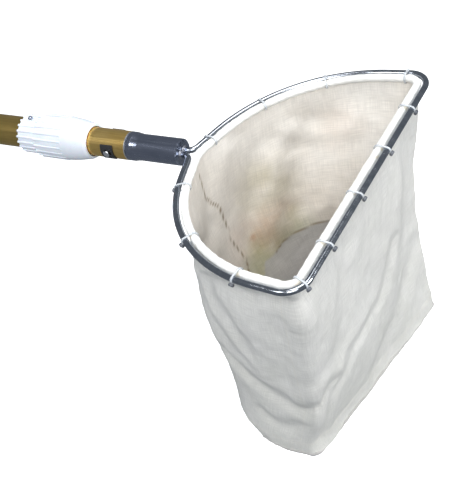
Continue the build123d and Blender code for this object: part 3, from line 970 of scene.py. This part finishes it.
def grow(name, vertices, edges, tree, turns=None, **values):
    # a plain mesh of what the tree makes from these vertices and edges
    mesh = bpy.data.meshes.new(name)
    mesh.from_pydata([tuple(v) for v in vertices], edges, [])
    if turns:
        made = mesh.attributes.new("turn", "FLOAT_VECTOR", "POINT")
        made.data.foreach_set("vector", [c for t in turns for c in t])
    maker = bpy.data.objects.new(name + "Maker", mesh)
    scene.collection.objects.link(maker)
    modifier = maker.modifiers.new("grow", "NODES")
    modifier.node_group = tree
    for key, value in values.items():
        modifier[socketOf(tree, key)] = value
    evaluated = maker.evaluated_get(bpy.context.evaluated_depsgraph_get())
    plain = bpy.data.meshes.new_from_object(evaluated)
    plain.name = name
    bpy.data.objects.remove(maker)
    plain.polygons.foreach_set("use_smooth", [True] * len(plain.polygons))
    piece = bpy.data.objects.new(name, plain)
    scene.collection.objects.link(piece)
    return piece


def tieBandMesh():
    # one tie's band, taut round the hem and the rod, seen end on in XZ, with the hem at its origin
    small, large = hoopPlan["rod"] + 0.0002, 0.0044
    gap = hoopPlan["rod"] + hoopPlan["hem"] + hoopPlan["hemGap"]
    lean = atan2(large - small, gap)
    outline = []
    for k in range(15):
        a = pi / 2 - lean - (pi - 2 * lean) * k / 14
        outline.append((gap + small * cos(a), small * sin(a)))
    for k in range(21):
        a = -pi / 2 + lean - (pi + 2 * lean) * k / 20
        outline.append((large * cos(a), large * sin(a)))
    half, thick = 0.0010, 0.00075
    section = (
        (0.0, -half), (0.0, half), (thick * 0.7, half),
        (thick, half * 0.6), (thick, -half * 0.6), (thick * 0.7, -half),
    )
    vertices, faces = [], []
    count = len(outline)
    for index, (x, z) in enumerate(outline):
        ax, az = outline[index - 1]
        bx, bz = outline[(index + 1) % count]
        wayX, wayZ = bx - ax, bz - az
        size = hypot(wayX, wayZ)
        out = (-wayZ / size, wayX / size)
        for lift, across in section:
            vertices.append((x + out[0] * lift, across, z + out[1] * lift))
    for i in range(count):
        for k in range(6):
            a, b = i * 6 + k, i * 6 + (k + 1) % 6
            c, d = (i + 1) % count * 6 + (k + 1) % 6, (i + 1) % count * 6 + k
            faces.append((a, b, c, d))
    return vertices, faces


def blockMesh(size, place, tilt, edge):
    # a block with softened edges, for a tie's head
    made = bmesh.new()
    bmesh.ops.create_cube(made, size=1)
    bmesh.ops.scale(made, vec=size, verts=made.verts)
    bmesh.ops.bevel(made, geom=made.edges[:], offset=edge, segments=2, affect="EDGES")
    bmesh.ops.rotate(made, matrix=Matrix.Rotation(tilt, 3, "Y"), verts=made.verts)
    bmesh.ops.translate(made, vec=place, verts=made.verts)
    made.verts.ensure_lookup_table()
    vertices = [tuple(v.co) for v in made.verts]
    faces = [tuple(v.index for v in f.verts) for f in made.faces]
    made.free()
    return vertices, faces


def helper(name, vertices, faces):
    mesh = bpy.data.meshes.new(name)
    mesh.from_pydata(vertices, [], faces)
    return bpy.data.objects.new(name, mesh)


def makeTies():
    bandVertices, bandFaces = tieBandMesh()
    band = helper("tieBand", bandVertices, bandFaces)
    gap = hoopPlan["rod"] + hoopPlan["hem"] + hoopPlan["hemGap"]
    headPlace = (gap + 0.0052 * cos(radians(-35)), 0, 0.0052 * sin(radians(-35)))
    head = helper("tieHead", *blockMesh((0.0028, 0.0040, 0.0044), headPlace, radians(35), 0.0005))
    places, turns = [], []
    for station in tieStations:
        place, way = hemAt(station)
        outward = Vector((-way.y, way.x, 0))
        if outward.dot(place - Vector((0.095, 0, 0))) < 0:
            outward = -outward
        places.append(place)
        turns.append((0.0, 0.0, atan2(outward.y, outward.x)))
    clear = newMaterial("clearNylon", (0.80, 0.84, 0.88), 0.18, 0.0, Transmission_Weight=0.45, IOR=1.5)[0]
    dark = mouldedPlastic("tieHeadGrey", (0.10, 0.11, 0.13), (0.16, 0.17, 0.19), 0.35)
    tree = placedTree()
    bands = grow("tieBands", places, [], tree, turns, Part=band, Finish=clear)
    heads = grow("tieHeads", places, [], tree, turns, Part=head, Finish=dark)
    bpy.data.objects.remove(band)
    bpy.data.objects.remove(head)
    return bands, heads, tree


tieBands, tieHeads, pointTree = makeTies()
print("ties made")


def stitchMesh():
    vertices, faces = [], []
    rings = ((-0.0012, 0.00008), (-0.0009, 0.00028), (0.0009, 0.00028), (0.0012, 0.00008))
    for x, r in rings:
        for k in range(5):
            a = 2 * pi * k / 5
            vertices.append((x, r * cos(a), r * sin(a)))
    for i in range(3):
        for k in range(5):
            a, b = i * 5 + k, i * 5 + (k + 1) % 5
            faces.append((a, a + 5, b + 5, b))
    faces.append((0, 1, 2, 3, 4))
    faces.append((19, 18, 17, 16, 15))
    return vertices, faces


def ringLine(ring):
    # one ring of the bag's skin as a closed line
    start = ring * bagCut["around"]
    source = canvasBag.data.vertices
    return [source[start + i].co.copy() for i in range(bagCut["around"])]


def makeStitches():
    # the hem's stitch line, the front seams and the bottom seam, on the cloth
    around, down = bagCut["around"], bagCut["down"]
    last = len(bagCut["sections"]) - 1
    vertices, edges = [], []

    def add(line, closed):
        start = len(vertices)
        vertices.extend(line)
        edges.extend((start + i, start + i + 1) for i in range(len(line) - 1))
        if closed:
            edges.append((start + len(line) - 1, start))

    hemRing = 4
    add(ringLine(hemRing), True)
    heights = [catmull(bagCut["sections"], last * step / (down - 1))[0] for step in range(down)]
    bottomRing = min(range(down), key=lambda i: abs(heights[i] + 0.226))
    add(ringLine(bottomRing), True)
    add(ringLine(bottomRing + 2), True)
    source = canvasBag.data.vertices
    for sign in (1, -1):
        column = min(range(around), key=lambda i: abs(hemAt(i / around * hemLength)[0].x - 0.1605)
                     + (0 if hemAt(i / around * hemLength)[0].y * sign > 0 else 9))
        add([source[r * around + column].co.copy() for r in range(hemRing, bottomRing)], False)
    stitch = helper("stitch", *stitchMesh())
    thread = newMaterial("seamThread", (0.72, 0.70, 0.64), 0.7)[0]
    made = grow("seamStitches", vertices, edges, stitchTree(), Stitch=stitch, Spacing=0.0034, Finish=thread)
    bpy.data.objects.remove(stitch)
    return made


seamStitches = makeStitches()
print("stitches:", len(seamStitches.data.polygons), "faces")


def makeGripRings():
    # low moulded rings round the vinyl grip
    low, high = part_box("hand_grip")
    radius = (high.z - low.z) / 2
    vertices, faces = [], []
    around, across = 40, 7
    for k in range(around):
        a = 2 * pi * k / around
        for step in range(across):
            t = pi * step / (across - 1)
            r = radius - 0.0002 + 0.0006 * sin(t)
            vertices.append((-0.0013 * cos(t), r * cos(a), r * sin(a)))
    for k in range(around):
        for step in range(across - 1):
            a, b = k * across + step, (k + 1) % around * across + step
            faces.append((a, a + 1, b + 1, b))
    ring = helper("gripRing", vertices, faces)
    count = 26
    places = [(low.x + 0.010 + (high.x - low.x - 0.024) * i / (count - 1), 0, 0) for i in range(count)]
    turns = [(0, 0, 0)] * count
    made = grow("gripRings", places, [], pointTree, turns, Part=ring, Finish=finishes["grip_vinyl"])
    bpy.data.objects.remove(ring)
    return made


gripRings = makeGripRings()
print("grip rings made")

# what rides on what

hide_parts("bag_front", "bag_wrap", "bag_bottom")
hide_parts("hem_sleeve")
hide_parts(*[name for name in nodes if name.startswith("tie_")])
for piece in (canvasBag, stuffedHem, tieBands, tieHeads, seamStitches):
    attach(piece, "head")
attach(gripRings, "outer_section")

# lights, floor and the last lines

makeCamera()
makeWorld()
makeFloor()
makeLight("cameraSide", (0.85, -1.15, 1.15), (0.0, 0.0, -0.05), (0.95, 0.95), 20.0)
makeLight("overhead", (0.35, 0.30, 1.5), (0.08, 0.0, 0.0), (1.0, 1.0), 17.0, (1.0, 0.985, 0.96))
makeLight("frontSide", (1.9, 0.55, 0.30), (0.1, 0.0, -0.12), (0.7, 0.7), 21.0)
makeLight("poleSide", (-0.25, -0.75, 0.95), (-0.12, 0.0, 0.0), (0.45, 0.30), 4.0)
print("studio made")
